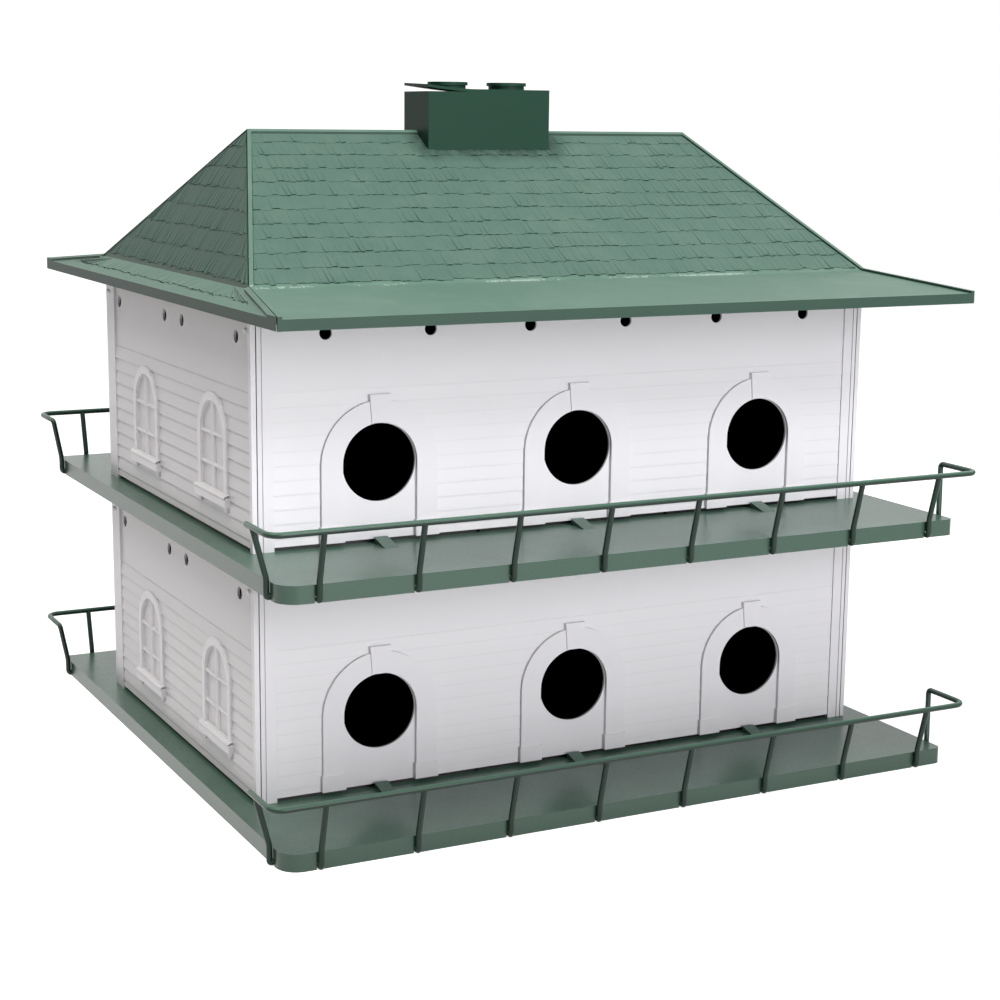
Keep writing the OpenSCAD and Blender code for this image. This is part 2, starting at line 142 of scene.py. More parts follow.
# a node whose inputs are linked to sockets or set to plain values
def addNode(tree, kind, links=None, **values):
    node = tree.nodes.new(kind)
    for key, value in values.items():
        setattr(node, key, value)
    for socket, source in (links or {}).items():
        target = node.inputs[socket]
        if isinstance(source, bpy.types.NodeSocket):
            tree.links.new(source, target)
        else:
            target.default_value = source
    return node


# one step of arithmetic on sockets or plain values
def addMath(tree, operation, a, b=0.0, c=0.0):
    return addNode(tree, "ShaderNodeMath", {0: a, 1: b, 2: c}, operation=operation).outputs[0]


# a value taken from one range to another and kept within it, eased at both ends where it is smooth
def mapRange(tree, value, low, high, toLow=0.0, toHigh=1.0, smooth=True):
    node = addNode(tree, "ShaderNodeMapRange",
                   {"Value": value, "From Min": low, "From Max": high, "To Min": toLow, "To Max": toHigh},
                   interpolation_type="SMOOTHSTEP" if smooth else "LINEAR")
    return node.outputs["Result"]


# a noise at a place
def addNoise(tree, place, scale, detail, roughness=0.5):
    return addNode(tree, "ShaderNodeTexNoise",
                   {"Vector": place, "Scale": scale, "Detail": detail, "Roughness": roughness}).outputs[0]


# a place in the house's own axes
def addPlace(tree):
    return addNode(tree, "ShaderNodeTexCoord").outputs["Object"]


# the three coordinates of a vector
def addSplit(tree, vector):
    return addNode(tree, "ShaderNodeSeparateXYZ", {0: vector}).outputs


# the way a surface faces, as three coordinates
def addFacing(tree, kind="True Normal"):
    return addSplit(tree, addNode(tree, "ShaderNodeNewGeometry").outputs[kind])


# fades from 1 at no distance to 0 at the reach and beyond
def addFade(tree, distance, reach):
    share = addNode(tree, "ShaderNodeClamp", {"Value": addMath(tree, "DIVIDE", distance, reach)})
    return addMath(tree, "SUBTRACT", 1.0, share.outputs[0])


# the lower value below a height and the upper one above it
def addByStorey(tree, height, upperFloor, lower, upper):
    isUpper = addMath(tree, "GREATER_THAN", height, upperFloor)
    step = addMath(tree, "SUBTRACT", upper, lower)
    return addMath(tree, "ADD", addMath(tree, "MULTIPLY", isUpper, step), lower)


# 1 where a surface faces along the house rather than out of its long sides
def facesEnd(tree):
    facing = addFacing(tree)
    return addMath(tree, "GREATER_THAN", addMath(tree, "ABSOLUTE", facing["X"]),
                   addMath(tree, "ABSOLUTE", facing["Y"]))


# slow cloudy tone and fine moulded grain over the whole surface: the tone swings about 1 by the cloud's depth
def makeMouldSkin():
    inputs = {"Cloud Scale": 14, "Cloud Depth": 0.05, "Grain Scale": 900}
    group, into, out = newGroup("mouldSkin", inputs, ["Tone", "Grain"])
    place = addPlace(group)
    cloud = addNoise(group, place, into["Cloud Scale"], 4.0, 0.55)
    grain = addNoise(group, place, into["Grain Scale"], 3.0, 0.6)
    swing = addMath(group, "MULTIPLY", addMath(group, "SUBTRACT", cloud, 0.5), into["Cloud Depth"])
    group.links.new(addMath(group, "MULTIPLY_ADD", swing, 2.0, 1.0), out["Tone"])
    group.links.new(grain, out["Grain"])
    return group


# chalky wear specks and painted glints in a narrow band on both sides of the line where two slopes meet, at a
# distance
# from the middle plane: two noises multiplied and cut off at a level that falls as the cover grows
def makeChalkAndGlintSpecks():
    inputs = {"Line": 0.167, "Reach": 0.003, "Scale": 160, "Cover": 0.4}
    group, into, out = newGroup("chalkAndGlintSpecks", inputs, ["Mask"])
    place = addPlace(group)
    outwards = addMath(group, "ABSOLUTE", addSplit(group, place)["Y"])
    away = addMath(group, "ABSOLUTE", addMath(group, "SUBTRACT", outwards, into["Line"]))
    specks = addNoise(group, place, into["Scale"], 5.0, 0.7)
    mixed = addMath(group, "MULTIPLY", specks, addNoise(group, place, 18.0, 2.0))
    level = addMath(group, "MULTIPLY_ADD", into["Cover"], -0.3, 0.42)
    flecked = mapRange(group, addMath(group, "SUBTRACT", mixed, level), 0.0, 0.05)
    group.links.new(addMath(group, "MULTIPLY", flecked, addFade(group, away, into["Reach"])), out["Mask"])
    return group


# dust that lies on what faces up: how far it faces up times a drifting noise
def makeSettledDust():
    group, into, out = newGroup("settledDust", {"Amount": 0.3, "Scale": 30}, ["Mask"])
    place = addPlace(group)
    level = mapRange(group, addFacing(group, "Normal")["Z"], 0.3, 1.0)
    drift = mapRange(group, addNoise(group, place, into["Scale"], 6.0, 0.65), 0.4, 0.75)
    lying = addMath(group, "MULTIPLY", level, drift)
    group.links.new(addMath(group, "MULTIPLY", lying, into["Amount"]), out["Mask"])
    return group


# how far a surface faces the sky, for a lighter paint there that is painted light from above as well as sun
# bleaching: 0 upright, 1 flat, with a noise added
def makeSkyLitFade():
    group, into, out = newGroup("skyLitFade", {"From": 0.3, "To": 1.0, "Patches": 0.1}, ["Mask"])
    place = addPlace(group)
    patches = addMath(group, "SUBTRACT", addNoise(group, place, 9.0, 3.0), 0.5)
    wander = addMath(group, "MULTIPLY", patches, into["Patches"])
    turned = addMath(group, "ADD", addFacing(group)["Z"], wander)
    group.links.new(mapRange(group, turned, into["From"], into["To"], smooth=False), out["Mask"])
    return group


# 1 on steep surfaces that face along the house, where painted shade darkens the ends that get less light
def makeEndShade():
    group, into, out = newGroup("endShade", {"Steepest": 0.6}, ["Mask"])
    steep = addMath(group, "LESS_THAN", addMath(group, "ABSOLUTE", addFacing(group)["Z"]), into["Steepest"])
    group.links.new(addMath(group, "MULTIPLY", steep, facesEnd(group)), out["Mask"])
    return group


# how far a coordinate lies beyond a half size, and 0 within it
def addBeyond(tree, coordinate, half):
    excess = addMath(tree, "SUBTRACT", addMath(tree, "ABSOLUTE", coordinate), half)
    return addMath(tree, "MAXIMUM", excess, 0.0)


# painted shade around the foot of the chimney: fades with the distance from its outline, broken up by a noise
def makeChimneyFootShade():
    inputs = {"Half Length": 0.051, "Half Depth": 0.022, "Reach": 0.016}
    group, into, out = newGroup("chimneyFootShade", inputs, ["Mask"])
    place = addPlace(group)
    axes = addSplit(group, place)
    outX = addMath(group, "POWER", addBeyond(group, axes["X"], into["Half Length"]), 2.0)
    outY = addMath(group, "POWER", addBeyond(group, axes["Y"], into["Half Depth"]), 2.0)
    away = addMath(group, "SQRT", addMath(group, "ADD", outX, outY))
    patchy = mapRange(group, addNoise(group, place, 90.0, 4.0, 0.6), 0.3, 0.65, 0.4, 1.0)
    group.links.new(addMath(group, "MULTIPLY", addFade(group, away, into["Reach"]), patchy), out["Mask"])
    return group


# wood grain that runs up a roof slope: a noise drawn out along the height, across whichever way
# the slope faces
def makeShakeGrain():
    group, into, out = newGroup("shakeGrain", {"Across": 700, "Along": 60}, ["Grain"])
    axes = addSplit(group, addPlace(group))
    sideways = addMath(group, "SUBTRACT", axes["Y"], axes["X"])
    across = addMath(group, "MULTIPLY_ADD", facesEnd(group), sideways, axes["X"])
    stretched = addNode(group, "ShaderNodeCombineXYZ",
                        {"X": addMath(group, "MULTIPLY", across, into["Across"]),
                         "Y": addMath(group, "MULTIPLY", axes["Z"], into["Along"])})
    group.links.new(addNoise(group, stretched.outputs[0], 1.0, 3.0, 0.6), out["Grain"])
    return group


# painted shade in the corner under each lap line of the boards, counted from the floor of the storey:
# the share of a board's height that is left below the next line, faded out, fainter on the long sides
def makeLapShade():
    inputs = {"Upper Floor": 0.1875, "Lower Line": 0.0202, "Upper Line": 0.1957, "Pitch": 0.00988,
              "Reach": 0.16}
    group, into, out = newGroup("lapShade", inputs, ["Mask"])
    place = addPlace(group)
    axes = addSplit(group, place)
    line = addByStorey(group, axes["Z"], into["Upper Floor"], into["Lower Line"], into["Upper Line"])
    turns = addMath(group, "DIVIDE", addMath(group, "SUBTRACT", axes["Z"], line), into["Pitch"])
    below = addMath(group, "SUBTRACT", 1.0, addMath(group, "FLOORED_MODULO", turns, 1.0))
    patchy = mapRange(group, addNoise(group, place, 40.0, 4.0, 0.6), 0.3, 0.6, 0.45, 1.0)
    weight = addMath(group, "MULTIPLY", patchy, addMath(group, "MULTIPLY_ADD", facesEnd(group), 0.75, 0.25))
    group.links.new(addMath(group, "MULTIPLY", addFade(group, below, into["Reach"]), weight), out["Mask"])
    return group


# painted shade near the top of each storey of an end wall, under the eave or the deck,
# with a thinner painted shade over the rest of that wall as far as its raised frames
def makeEndWallShade():
    inputs = {"Upper Floor": 0.1875, "Lower Top": 0.1845, "Upper Top": 0.354, "Reach": 0.04, "Film": 0.3,
              "Frames": 0.2458}
    group, into, out = newGroup("endWallShade", inputs, ["Mask"])
    axes = addSplit(group, addPlace(group))
    top = addByStorey(group, axes["Z"], into["Upper Floor"], into["Lower Top"], into["Upper Top"])
    near = addFade(group, addMath(group, "SUBTRACT", top, axes["Z"]), into["Reach"])
    darkened = addMath(group, "ADD", addMath(group, "POWER", near, 1.5), into["Film"])
    flat = addMath(group, "LESS_THAN", addMath(group, "ABSOLUTE", axes["X"]), into["Frames"])
    onEnd = addMath(group, "MULTIPLY", flat, facesEnd(group))
    group.links.new(addMath(group, "MULTIPLY", darkened, onEnd), out["Mask"])
    return group


# painted shade inside the rooms: what lies within the walls
def makeRoomShade():
    group, into, out = newGroup("roomShade", {"Half Length": 0.2425, "Half Depth": 0.163}, ["Mask"])
    axes = addSplit(group, addPlace(group))
    withinX = addMath(group, "LESS_THAN", addMath(group, "ABSOLUTE", axes["X"]), into["Half Length"])
    withinY = addMath(group, "LESS_THAN", addMath(group, "ABSOLUTE", axes["Y"]), into["Half Depth"])
    group.links.new(addMath(group, "MULTIPLY", withinX, withinY), out["Mask"])
    return group


# grime with painted shade in the corner, upwards from a storey's floor: a cubed fade times a noise
def makeFootGrimeAndShade():
    inputs = {"Lower Floor": 0.012, "Upper Floor": 0.1875, "Reach": 0.02}
    group, into, out = newGroup("footGrimeAndShade", inputs, ["Mask"])
    place = addPlace(group)
    axes = addSplit(group, place)
    floorZ = addByStorey(group, axes["Z"], into["Upper Floor"], into["Lower Floor"], into["Upper Floor"])
    fade = addFade(group, addMath(group, "SUBTRACT", axes["Z"], floorZ), into["Reach"])
    blots = addNoise(group, place, 60.0, 5.0, 0.6)
    group.links.new(addMath(group, "MULTIPLY", addMath(group, "POWER", fade, 3.0), blots), out["Mask"])
    return group


mouldSkin = makeMouldSkin()
chalkAndGlintSpecks = makeChalkAndGlintSpecks()
settledDust = makeSettledDust()
skyLitFade = makeSkyLitFade()
endShade = makeEndShade()
chimneyFootShade = makeChimneyFootShade()
shakeGrain = makeShakeGrain()
lapShade = makeLapShade()
endWallShade = makeEndWallShade()
roomShade = makeRoomShade()
footGrimeAndShade = makeFootGrimeAndShade()
print("shader groups ready")


# a group put to use in a material, with its inputs set; an underscore stands for a space
def useGroup(tree, group, **values):
    node = tree.nodes.new("ShaderNodeGroup")
    node.node_tree = group
    for title, value in values.items():
        node.inputs[title.replace("_", " ")].default_value = value
    return node


# what each moulded finish is made of: its paint, a lighter paint for what faces up (painted light from above
# and sun bleaching), how glossy it is, and how strong its grain, clouds and dust are
finishes = {
    "wall": {"paint": srgb(238, 236, 241), "fadedAndLit": srgb(240, 240, 240),
             "rough": 0.34, "mirror": 0.4, "coat": 0.05, "cloud": 0.012, "grain": 0.03, "dust": 0.0},
    "roof": {"paint": srgb(48, 74, 63), "fadedAndLit": srgb(106, 138, 124),
             "rough": 0.5, "mirror": 0.3, "coat": 0.0, "cloud": 0.05, "grain": 0.08, "dust": 0.06},
    "shake": {"paint": srgb(50, 78, 66), "fadedAndLit": srgb(93, 122, 111),
              "rough": 0.55, "mirror": 0.25, "coat": 0.0, "cloud": 0.07, "grain": 0.1, "dust": 0.05},
    "deck": {"paint": srgb(52, 80, 67), "fadedAndLit": srgb(74, 106, 91),
             "rough": 0.3, "mirror": 0.5, "coat": 0.05, "cloud": 0.03, "grain": 0.015, "dust": 0.04},
    "chimney": {"paint": srgb(34, 66, 53), "fadedAndLit": srgb(54, 84, 70),
                "rough": 0.5, "mirror": 0.12, "coat": 0.0, "cloud": 0.08, "grain": 0.1, "dust": 0.06},
    "rail": {"paint": srgb(16, 40, 31), "fadedAndLit": srgb(96, 130, 114),
             "rough": 0.32, "mirror": 0.3, "coat": 0.03, "cloud": 0.06, "grain": 0.04, "dust": 0.04},
    # near black, darker than the real panels: painted shade inside the rooms
    "inside": {"paint": srgb(7, 9, 8), "fadedAndLit": srgb(9, 11, 10),
               "rough": 0.8, "mirror": 0.1, "coat": 0.0, "cloud": 0.1, "grain": 0.1, "dust": 0.02},
}

# what is laid over the paints, grime and chalky wear with painted shade and glints: how far each reaches and
# what share of the paint it covers
dustPaint = srgb(196, 204, 196)
# chalky wear with painted glints along the roof's break
chalkAndGlintPaint = srgb(196, 216, 206)
# grime with painted shade at the walls' feet, and painted shade under the laps
grimeAndShadePaint = srgb(120, 116, 108)
# painted shade for the end walls
endWallShadePaint = srgb(150, 143, 134)
# near-black painted shade inside the rooms
roomShadePaint = srgb(12, 12, 10)
shadePaint = srgb(14, 34, 25)
dirtAndPaintedLight = {
    "foot": {"reach": 0.03, "cover": 0.4},
    "endWallDark": {"lowerTop": 0.1845, "upperTop": 0.354, "reach": 0.045, "overall": 0.3, "frameStep": 0.00135,
                "cover": 0.6},  # the step is how far out the raised frames start
    "laps": {"reach": 0.14, "cover": 0.5},
    "chimneyFootShade": {"halfLength": 0.051, "halfDepth": 0.022, "reach": 0.016, "cover": 0.75},
    "chalkAndGlint": {"reach": 0.0024, "scale": 420.0, "amount": 0.55, "cover": 0.6},
    "endShade": {"steepest": 0.6, "roof": 0.5, "shake": 0.12, "chimney": 0.6},
}
fibres = {"across": 650.0, "along": 70.0, "strength": 0.5, "depth": 0.0006}


# mixes two colours, either of them a socket or a plain value, by a mask
def mixPaint(tree, mask, under, over):
    mix = addNode(tree, "ShaderNodeMix", data_type="RGBA")
    for socket, source in ((mix.inputs[0], mask), (mix.inputs[6], under), (mix.inputs[7], over)):
        if isinstance(source, bpy.types.NodeSocket):
            tree.links.new(source, socket)
        else:
            socket.default_value = source
    return mix.outputs[2]


# a moulded plastic: its paint, lighter towards the sky by painted light from above and sun bleaching, times a
# slow tone, dust on what faces up, and a fine grain in gloss and bump
def makeMoulded(name, values):
    material = bpy.data.materials.new(name)
    material.use_nodes = True
    tree = material.node_tree
    shader = tree.nodes["Principled BSDF"]
    skin = useGroup(tree, mouldSkin, Cloud_Scale=14.0, Cloud_Depth=values["cloud"], Grain_Scale=900.0)
    # painted light: what faces up takes the lighter paint
    fade = useGroup(tree, skyLitFade, From=0.0, To=1.0, Patches=0.1)
    paint = mixPaint(tree, fade.outputs["Mask"], values["paint"], values["fadedAndLit"])
    toned = addNode(tree, "ShaderNodeVectorMath", {0: paint, "Scale": skin.outputs["Tone"]},
                    operation="SCALE")
    dust = useGroup(tree, settledDust, Amount=values["dust"], Scale=34.0)
    colour = mixPaint(tree, dust.outputs["Mask"], toned.outputs[0], dustPaint)
    rough = addMath(tree, "MULTIPLY_ADD", skin.outputs["Grain"], 0.18, values["rough"] - 0.09)
    bump = addNode(tree, "ShaderNodeBump", {"Height": skin.outputs["Grain"], "Strength": values["grain"],
                                            "Distance": 0.0004})
    tree.links.new(colour, shader.inputs["Base Color"])
    tree.links.new(rough, shader.inputs["Roughness"])
    tree.links.new(bump.outputs[0], shader.inputs["Normal"])
    shader.inputs["Specular IOR Level"].default_value = values["mirror"]
    shader.inputs["Coat Weight"].default_value = values["coat"]
    shader.inputs["Coat Roughness"].default_value = 0.15
    return material


# puts a second paint over a finished material: a group's mask times the share that it covers
def overpaint(material, layer, cover, paint):
    tree = material.node_tree
    target = tree.nodes["Principled BSDF"].inputs["Base Color"]
    mask = addMath(tree, "MULTIPLY", layer.outputs["Mask"], cover)
    tree.links.new(mixPaint(tree, mask, target.links[0].from_socket, paint), target)


# adds a second, coarser relief under the fine grain of a finished material
def addRelief(material, height, strength, distance):
    tree = material.node_tree
    fine = tree.nodes["Principled BSDF"].inputs["Normal"].links[0].from_node
    bump = addNode(tree, "ShaderNodeBump", {"Height": height, "Strength": strength, "Distance": distance})
    tree.links.new(bump.outputs[0], fine.inputs["Normal"])


lowerFloor, upperFloor = house["floors"]["lower"], house["floors"]["upper"]
materials = {name: makeMoulded(name + "Plastic", values) for name, values in finishes.items()}
materials["board"] = makeMoulded("boardPlastic", finishes["wall"])


# painted shade on a material within the inner faces of the walls, reaching a share of the wall's thickness
# into them
def shadeRooms(material, share):
    depth = house["wallThick"] * (1 - share)
    roomDark = useGroup(material.node_tree, roomShade, Half_Length=house["halfLength"] - depth,
                    Half_Depth=house["halfDepth"] - depth)
    overpaint(material, roomDark, 1.0, roomShadePaint)


# grime with painted shade at the foot, painted shade under the eaves and the deck and over the end walls, and
# painted shade inside the rooms
def grimeAndShadeWall(material):
    foot, endWallDark = dirtAndPaintedLight["foot"], dirtAndPaintedLight["endWallDark"]
    footDirtAndShade = useGroup(material.node_tree, footGrimeAndShade, Lower_Floor=lowerFloor, Upper_Floor=upperFloor,
                     Reach=foot["reach"])
    overpaint(material, footDirtAndShade, foot["cover"], grimeAndShadePaint)
    frames = house["halfLength"] + endWallDark["frameStep"]
    # painted shade under the eaves and over the end walls
    endWallShading = useGroup(material.node_tree, endWallShade, Upper_Floor=upperFloor,
                         Lower_Top=endWallDark["lowerTop"], Upper_Top=endWallDark["upperTop"],
                         Reach=endWallDark["reach"], Film=endWallDark["overall"], Frames=frames)
    overpaint(material, endWallShading, endWallDark["cover"], endWallShadePaint)
    shadeRooms(material, 0.1)


# painted shade under the lap lines
def shadeBoardLaps(material):
    laps = dirtAndPaintedLight["laps"]
    lapDark = useGroup(material.node_tree, lapShade, Upper_Floor=upperFloor,
                    Lower_Line=lowerFloor + boards["firstLine"], Upper_Line=upperFloor + boards["firstLine"],
                    Pitch=boards["pitch"], Reach=laps["reach"])
    # painted shade under each lap
    overpaint(material, lapDark, laps["cover"], grimeAndShadePaint)


# wood fibres as a relief, and painted shade round the chimney's foot
def grainAndShadeShakes(material):
    chimneyShading = dirtAndPaintedLight["chimneyFootShade"]
    fibre = useGroup(material.node_tree, shakeGrain, Across=fibres["across"], Along=fibres["along"])
    addRelief(material, fibre.outputs["Grain"], fibres["strength"], fibres["depth"])
    layer = useGroup(material.node_tree, chimneyFootShade, Half_Length=chimneyShading["halfLength"], Half_Depth=chimneyShading["halfDepth"],
                     Reach=chimneyShading["reach"])
    # painted shade round the chimney's foot
    overpaint(material, layer, chimneyShading["cover"], shadePaint)


for name in ("wall", "board"):
    grimeAndShadeWall(materials[name])
shadeBoardLaps(materials["board"])
shadeRooms(materials["deck"], 0.0)
grainAndShadeShakes(materials["shake"])
# chalky wear and painted glints along the roof's break
for name in ("roof", "shake"):
    chalkAndGlint = useGroup(materials[name].node_tree, chalkAndGlintSpecks, Line=house["breakHalf"][1],
                     Reach=dirtAndPaintedLight["chalkAndGlint"]["reach"], Scale=dirtAndPaintedLight["chalkAndGlint"]["scale"],
                     Cover=dirtAndPaintedLight["chalkAndGlint"]["amount"])
    overpaint(materials[name], chalkAndGlint, dirtAndPaintedLight["chalkAndGlint"]["cover"], chalkAndGlintPaint)
# painted shade on the steep ends of the green pieces
for name in ("roof", "shake", "chimney"):
    shaded = useGroup(materials[name].node_tree, endShade, Steepest=dirtAndPaintedLight["endShade"]["steepest"])
    overpaint(materials[name], shaded, dirtAndPaintedLight["endShade"][name], shadePaint)

steel = {"colour": (0.52, 0.54, 0.55), "spangle": 60.0, "depth": 0.12, "grain": 500.0, "rough": 0.3}


# galvanised sheet: a grey times a cloudy spangle, with a roughness that follows its grain
def makeSteel():
    material = bpy.data.materials.new("plateSteel")
    material.use_nodes = True
    tree = material.node_tree
    shader = tree.nodes["Principled BSDF"]
    skin = useGroup(tree, mouldSkin, Cloud_Scale=steel["spangle"], Cloud_Depth=steel["depth"],
                    Grain_Scale=steel["grain"])
    spangle = addNode(tree, "ShaderNodeVectorMath", {0: steel["colour"], "Scale": skin.outputs["Tone"]},
                      operation="SCALE")
    rough = addMath(tree, "MULTIPLY_ADD", skin.outputs["Grain"], steel["rough"], steel["rough"])
    tree.links.new(spangle.outputs[0], shader.inputs["Base Color"])
    tree.links.new(rough, shader.inputs["Roughness"])
    shader.inputs["Metallic"].default_value = 1.0
    return material


materials["plate"] = makeSteel()

slotOf = {"wall_panel": "wall", "inner_panel": "inside", "deck": "deck", "roof": "roof", "chimney": "chimney",
          "rail": "rail", "plate": "plate"}

for part in frame["record"]["subparts"]:
    node = nodes[part["node"]]
    node.data.materials.clear()
    node.data.materials.append(materials[slotOf[part["material_slot"]]])
print("materials ready")


# half width of an arched outline at a height: its radius up to the spring, then the arch's circle
def archHalf(z, opening):
    above = np.clip(z - opening["spring"], 0, None)
    return np.sqrt(np.clip(opening["radius"] ** 2 - above ** 2, 0, None))


# half width of a door surround at a height: its plinth, then the arched outline
def doorHalf(z):
    return np.where(z < doors["plinthTop"], doors["radius"] + doors["plinthOut"], archHalf(z, doors))


# half width of a window at a height: nothing below its sill, the sill, then the arched outline
def windowHalf(z):
    overSill = np.where(z < windows["sillTop"], windows["sillHalf"], archHalf(z, windows))
    return np.where(z < windows["sillFoot"], 0.0, overSill)


# heights and stand-off of the lapped face: from each line the face leans back from lap to thin,
# and extra heights are added where an opening's outline bends
def lapProfile(extra, lap):
    lines = boards["firstLine"] + boards["pitch"] * np.arange(boards["lines"])
    edges = np.concatenate([[boards["foot"]], lines])
    heights, outs = [], []
    for low, high in zip(edges[:-1], edges[1:]):
        inner = np.sort(extra[(extra > low + 1e-5) & (extra < high - 1e-5)])
        z = np.concatenate([[low], inner, [high]])
        heights.append(z)
        outs.append(lap + (boards["thin"] - lap) * (z - low) / (high - low))
    return np.concatenate(heights), np.concatenate(outs)


# one bay of boards: grid of profile heights x (wall, left edge, right edge, wall), whose edges follow
# the openings
def boardBay(side, floorZ, face, left, right, z, out):
    buried = np.full_like(z, -boards["sunk"])
    along = np.stack([left, left, right, right], 1)
    proud = np.stack([buried, out, out, buried], 1)
    height = np.repeat(z[:, None], 4, 1)
    along = np.concatenate([along[:1], along, along[-1:]])
    closing = np.full((1, 4), -boards["sunk"])
    proud = np.concatenate([closing, proud, closing])
    height = np.concatenate([height[:1], height, height[-1:]])
    points = onSide(side, along, height + floorZ, proud + face).reshape(-1, 3)
    return points, gridQuads(len(height), 4, flip=True)


# the boards of one storey on one side: a bay between each opening and the next, and out to the corner boards
def clapboards(side, storey):
    long = side in ("front", "back")
    opening, halfWidth = (doors, doorHalf) if long else (windows, windowHalf)
    centres = np.array(opening["centres"])
    bends = opening["spring"] + opening["radius"] * np.sin(np.linspace(0, math.pi / 2, 22))
    steps = np.array([doors["plinthTop"]] if long else [windows["sillFoot"], windows["sillTop"]])
    z, out = lapProfile(np.concatenate([bends, steps - 2e-5, steps + 2e-5]), boards["lap"][long])
    first, last = boards["run"][long]
    face = house["halfDepth"] if long else house["halfLength"]
    half = halfWidth(z)
    gap = np.where(half > 0, boards["gap"], 0.0)
    lefts = [np.full_like(z, first + boards["gap"])] + [c + half + gap for c in centres]
    rights = [c - half - gap for c in centres] + [np.full_like(z, last - boards["gap"])]
    floorZ = house["floors"][storey]
    parts = [boardBay(side, floorZ, face, left, right, z, out) for left, right in zip(lefts, rights)]
    return addPiece(f"{storey}_{side}_clapboards", parts, materials["board"])


for storey in house["floors"]:
    for side in sideTurn:
        clapboards(side, storey)
print("clapboards laid")

ribs = {"behind": 0.0022, "thick": 0.001, "high": 0.0032, "clear": 0.0004,
        "spans": {True: ((-0.2393, -0.078), (-0.076, 0.076), (0.078, 0.2393)),
                  False: ((-0.1595, -0.001), (0.001, 0.1595))}}


# low ribs on a deck just behind the feet of the walls, one to a room and side: each a closed box
def locatingRibs(storey):
    corner = np.array([[0, 0], [1, 0], [1, 1], [0, 1]])
    boxQuads = np.array([[3, 2, 1, 0], [4, 5, 6, 7], [0, 1, 5, 4], [1, 2, 6, 5], [2, 3, 7, 6], [3, 0, 4, 7]])
    parts = []
    for side in sideTurn:
        long = side in ("front", "back")
        inner = (house["halfDepth"] if long else house["halfLength"]) - ribs["behind"]
        for start, end in ribs["spans"][long]:
            along = np.tile(np.where(corner[:, 0] > 0, end - ribs["clear"], start + ribs["clear"]), 2)
            out = np.tile(inner - ribs["thick"] * corner[:, 1], 2)
            up = np.repeat([-boards["sunk"], ribs["high"]], 4) + house["floors"][storey]
            parts.append((onSide(side, along, up, out), boxQuads))
    # they lie within the deck's painted room shade, so they show near black behind the gaps under the walls
    return addPiece(f"{storey}_deck_locating_ribs", parts, materials["deck"])


for storey in house["floors"]:
    locatingRibs(storey)
print("walls located")

windowBars = {
    "width": 0.0032,
    "proud": 0.0018,
    "centre": 0.0048,  # width of the upright bar
    "centreProud": 1.15,  # how much further it stands out than the others, as a factor
    "centreFoot": 0.0294,
    "belowCrown": 0.0055,  # from its upper end to the crown of the window
    "half": 0.0242,  # half length of the level bars
    "levels": (0.048, 0.070),
    "ringSteps": 9,
}
nosing = {"width": 0.0046, "proud": 0.0052, "half": 0.0323, "height": 0.0293}


# a half-round bar from one end to the other: half a circle of the bar's width around its line,
# flattened to its stand-off
def halfRoundBar(side, start, end, width, proud, face, floorZ):
    start, end = np.array(start), np.array(end)
    run = (end - start) / np.linalg.norm(end - start)
    cross = np.array([-run[1], run[0]])
    angle = np.linspace(0, math.pi, windowBars["ringSteps"])
    t = np.array([0.0, 1.0])[:, None]
    along = start[0] + (end[0] - start[0]) * t + cross[0] * np.cos(angle) * width / 2
    up = start[1] + (end[1] - start[1]) * t + cross[1] * np.cos(angle) * width / 2
    out = np.broadcast_to(np.sin(angle) * proud - boards["sunk"], along.shape)
    points = onSide(side, along, up + floorZ, out + face).reshape(-1, 3)
    return points, gridQuads(2, windowBars["ringSteps"], flip=True)


# the bars and the rounded sill edges of the two windows on one end of a storey
def barsOfSide(side, storey):
    floorZ, face = house["floors"][storey], house["halfLength"]
    top = windows["spring"] + windows["radius"] - windowBars["belowCrown"]
    parts = []
    for centre in windows["centres"]:
        parts.append(halfRoundBar(side, (centre, windowBars["centreFoot"]), (centre, top),
                                  windowBars["centre"], windowBars["proud"] * windowBars["centreProud"],
                                  face, floorZ))
        parts.append(halfRoundBar(side, (centre - nosing["half"], nosing["height"]),
                                  (centre + nosing["half"], nosing["height"]), nosing["width"],
                                  nosing["proud"], face, floorZ))
        for level in windowBars["levels"]:
            parts.append(halfRoundBar(side, (centre - windowBars["half"], level),
                                      (centre + windowBars["half"], level), windowBars["width"],
                                      windowBars["proud"], face, floorZ))
    return addPiece(f"{storey}_{side}_window_bars", parts, materials["wall"], smooth=True)


for storey in house["floors"]:
    for side in ("left", "right"):
        barsOfSide(side, storey)

pins = {"radius": 0.002, "proud": 0.0016, "height": 0.148, "places": (-0.1585, 0.1585), "spokes": 20}


# a low round-headed pin: profile radius over height, turned about the wall's normal
def cornerPins(side, storey):
    turn = np.linspace(0, 2 * math.pi, pins["spokes"], endpoint=False)
    profile = np.array([[1.0, -0.06], [1.0, 0.55], [0.9, 0.82], [0.6, 0.97], [0.0001, 1.0]])
    radius = profile[:, :1] * pins["radius"]
    parts = []
    for place in pins["places"]:
        along = place + radius * np.cos(turn)
        up = house["floors"][storey] + pins["height"] + radius * np.sin(turn)
        face = house["halfLength"] + house["boardProud"]
        out = face + profile[:, 1:] * pins["proud"] + np.zeros_like(along)
        quads = gridQuads(len(profile), pins["spokes"], wrapCols=True)
        parts.append((onSide(side, along, up, out).reshape(-1, 3), quads))
    return addPiece(f"{storey}_{side}_pins", parts, materials["wall"], smooth=True)


for storey in house["floors"]:
    for side in ("left", "right"):
        cornerPins(side, storey)
print("windows and pins set")

